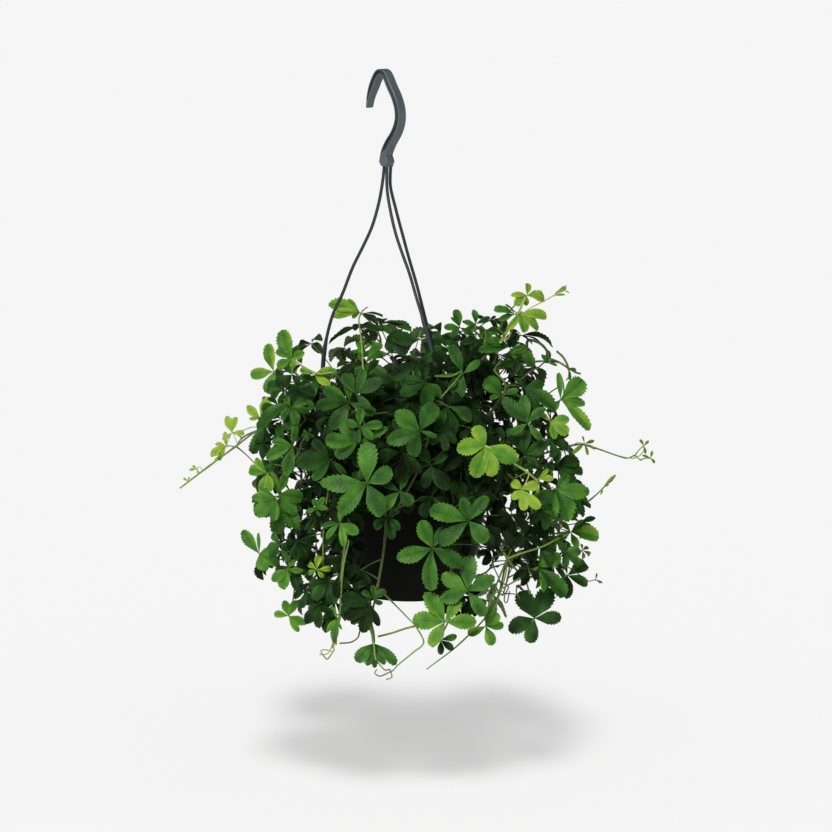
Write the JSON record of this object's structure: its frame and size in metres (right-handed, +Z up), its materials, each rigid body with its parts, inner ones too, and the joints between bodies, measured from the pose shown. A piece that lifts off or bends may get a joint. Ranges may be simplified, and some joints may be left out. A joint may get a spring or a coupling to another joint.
{
  "type": "potted hanging grape ivy",
  "caption": "Trailing grape ivy with palmate leaves in a round tapered pot, hung by a hook and slender strands clipped to the rim.",
  "frame": {"origin": "middle of the hook's seat, the flat of its crown that rests on a rail", "axes": "+Z up, -Y towards the viewer of the picture, +X to its right"},
  "size_m": [0.4283, 0.305, 0.5105],
  "materials": {
    "hook": "smooth satin, slate grey",
    "strand": "smooth satin, anthracite",
    "pot": "soft sheen, very dark brown-anthracite",
    "soil": "loose damp potting soil",
    "leaf": "living leaf, soft sheen above and paler below"
  },
  "bodies": {
    "root": {"hook": "hook", "strand_left": "strand", "strand_front": "strand", "strand_back": "strand", "pot": "pot", "soil": "soil", "vine_front_left": "leaf", "vine_front_middle": "leaf", "vine_front_right": "leaf", "vine_front_right_low": "leaf", "vine_front_low": "leaf", "vine_top_left": "leaf", "vine_top_middle": "leaf", "vine_top_right": "leaf", "vine_upper_left": "leaf", "vine_left": "leaf", "vine_left_middle": "leaf", "vine_left_low": "leaf", "vine_right_low": "leaf", "vine_right_middle": "leaf", "vine_right_edge": "leaf", "vine_right_upper": "leaf", "vine_back_1": "leaf", "vine_back_2": "leaf", "vine_back_3": "leaf", "vine_back_4": "leaf", "vine_back_5": "leaf", "vine_back_6": "leaf", "vine_inner_1": "leaf", "vine_inner_2": "leaf", "vine_inner_3": "leaf", "vine_inner_4": "leaf", "vine_inner_5": "leaf", "vine_inner_6": "leaf"}
  },
  "joints": []
}
